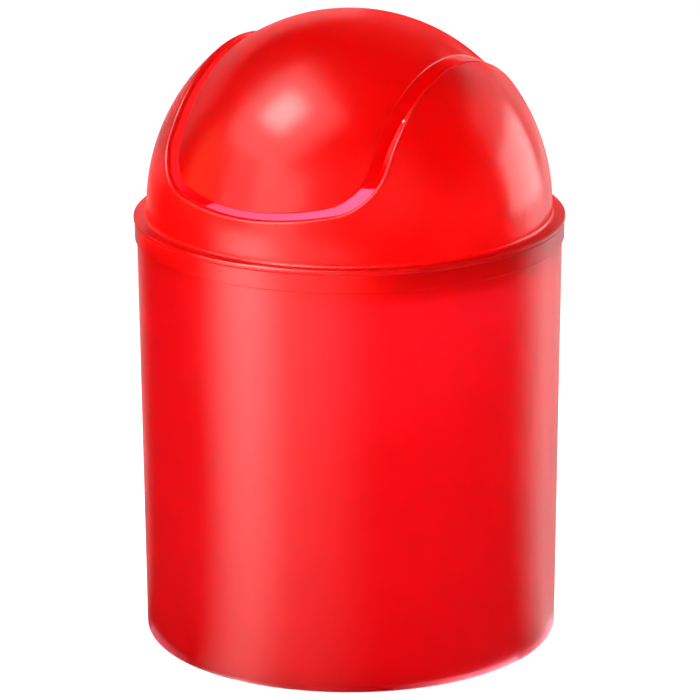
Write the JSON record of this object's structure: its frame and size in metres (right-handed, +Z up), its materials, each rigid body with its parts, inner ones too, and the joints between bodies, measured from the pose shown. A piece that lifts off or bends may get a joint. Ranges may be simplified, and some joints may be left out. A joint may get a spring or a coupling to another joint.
{
  "type": "countertop trash can",
  "caption": "Small round countertop trash can with a domed lift-off lid and a swing flap on pins.",
  "frame": {"origin": "centre of the can's base, on the surface it stands on", "axes": "+Z up along the can's axis, +X along the flap's swing axis, -Y towards the front"},
  "size_m": [0.133, 0.133, 0.1974],
  "materials": {
    "can_plastic": "satin, translucent red polypropylene",
    "lid_plastic": "satin, translucent red polypropylene",
    "flap_plastic": "satin, translucent red polypropylene"
  },
  "bodies": {
    "can": {"can": "can_plastic"},
    "lid": {"lid": "lid_plastic"},
    "flap": {"flap": "flap_plastic"}
  },
  "joints": [
    {"name": "lid_lift", "type": "slide", "parent": "can", "child": "lid", "axis": [0, 0, 1], "range_m": [0, 0.06]},
    {"name": "flap_swing", "type": "hinge", "parent": "lid", "child": "flap", "pos_m": [0, 0, 0.18088], "axis": [1, 0, 0], "range_deg": [-90, 90]}
  ]
}
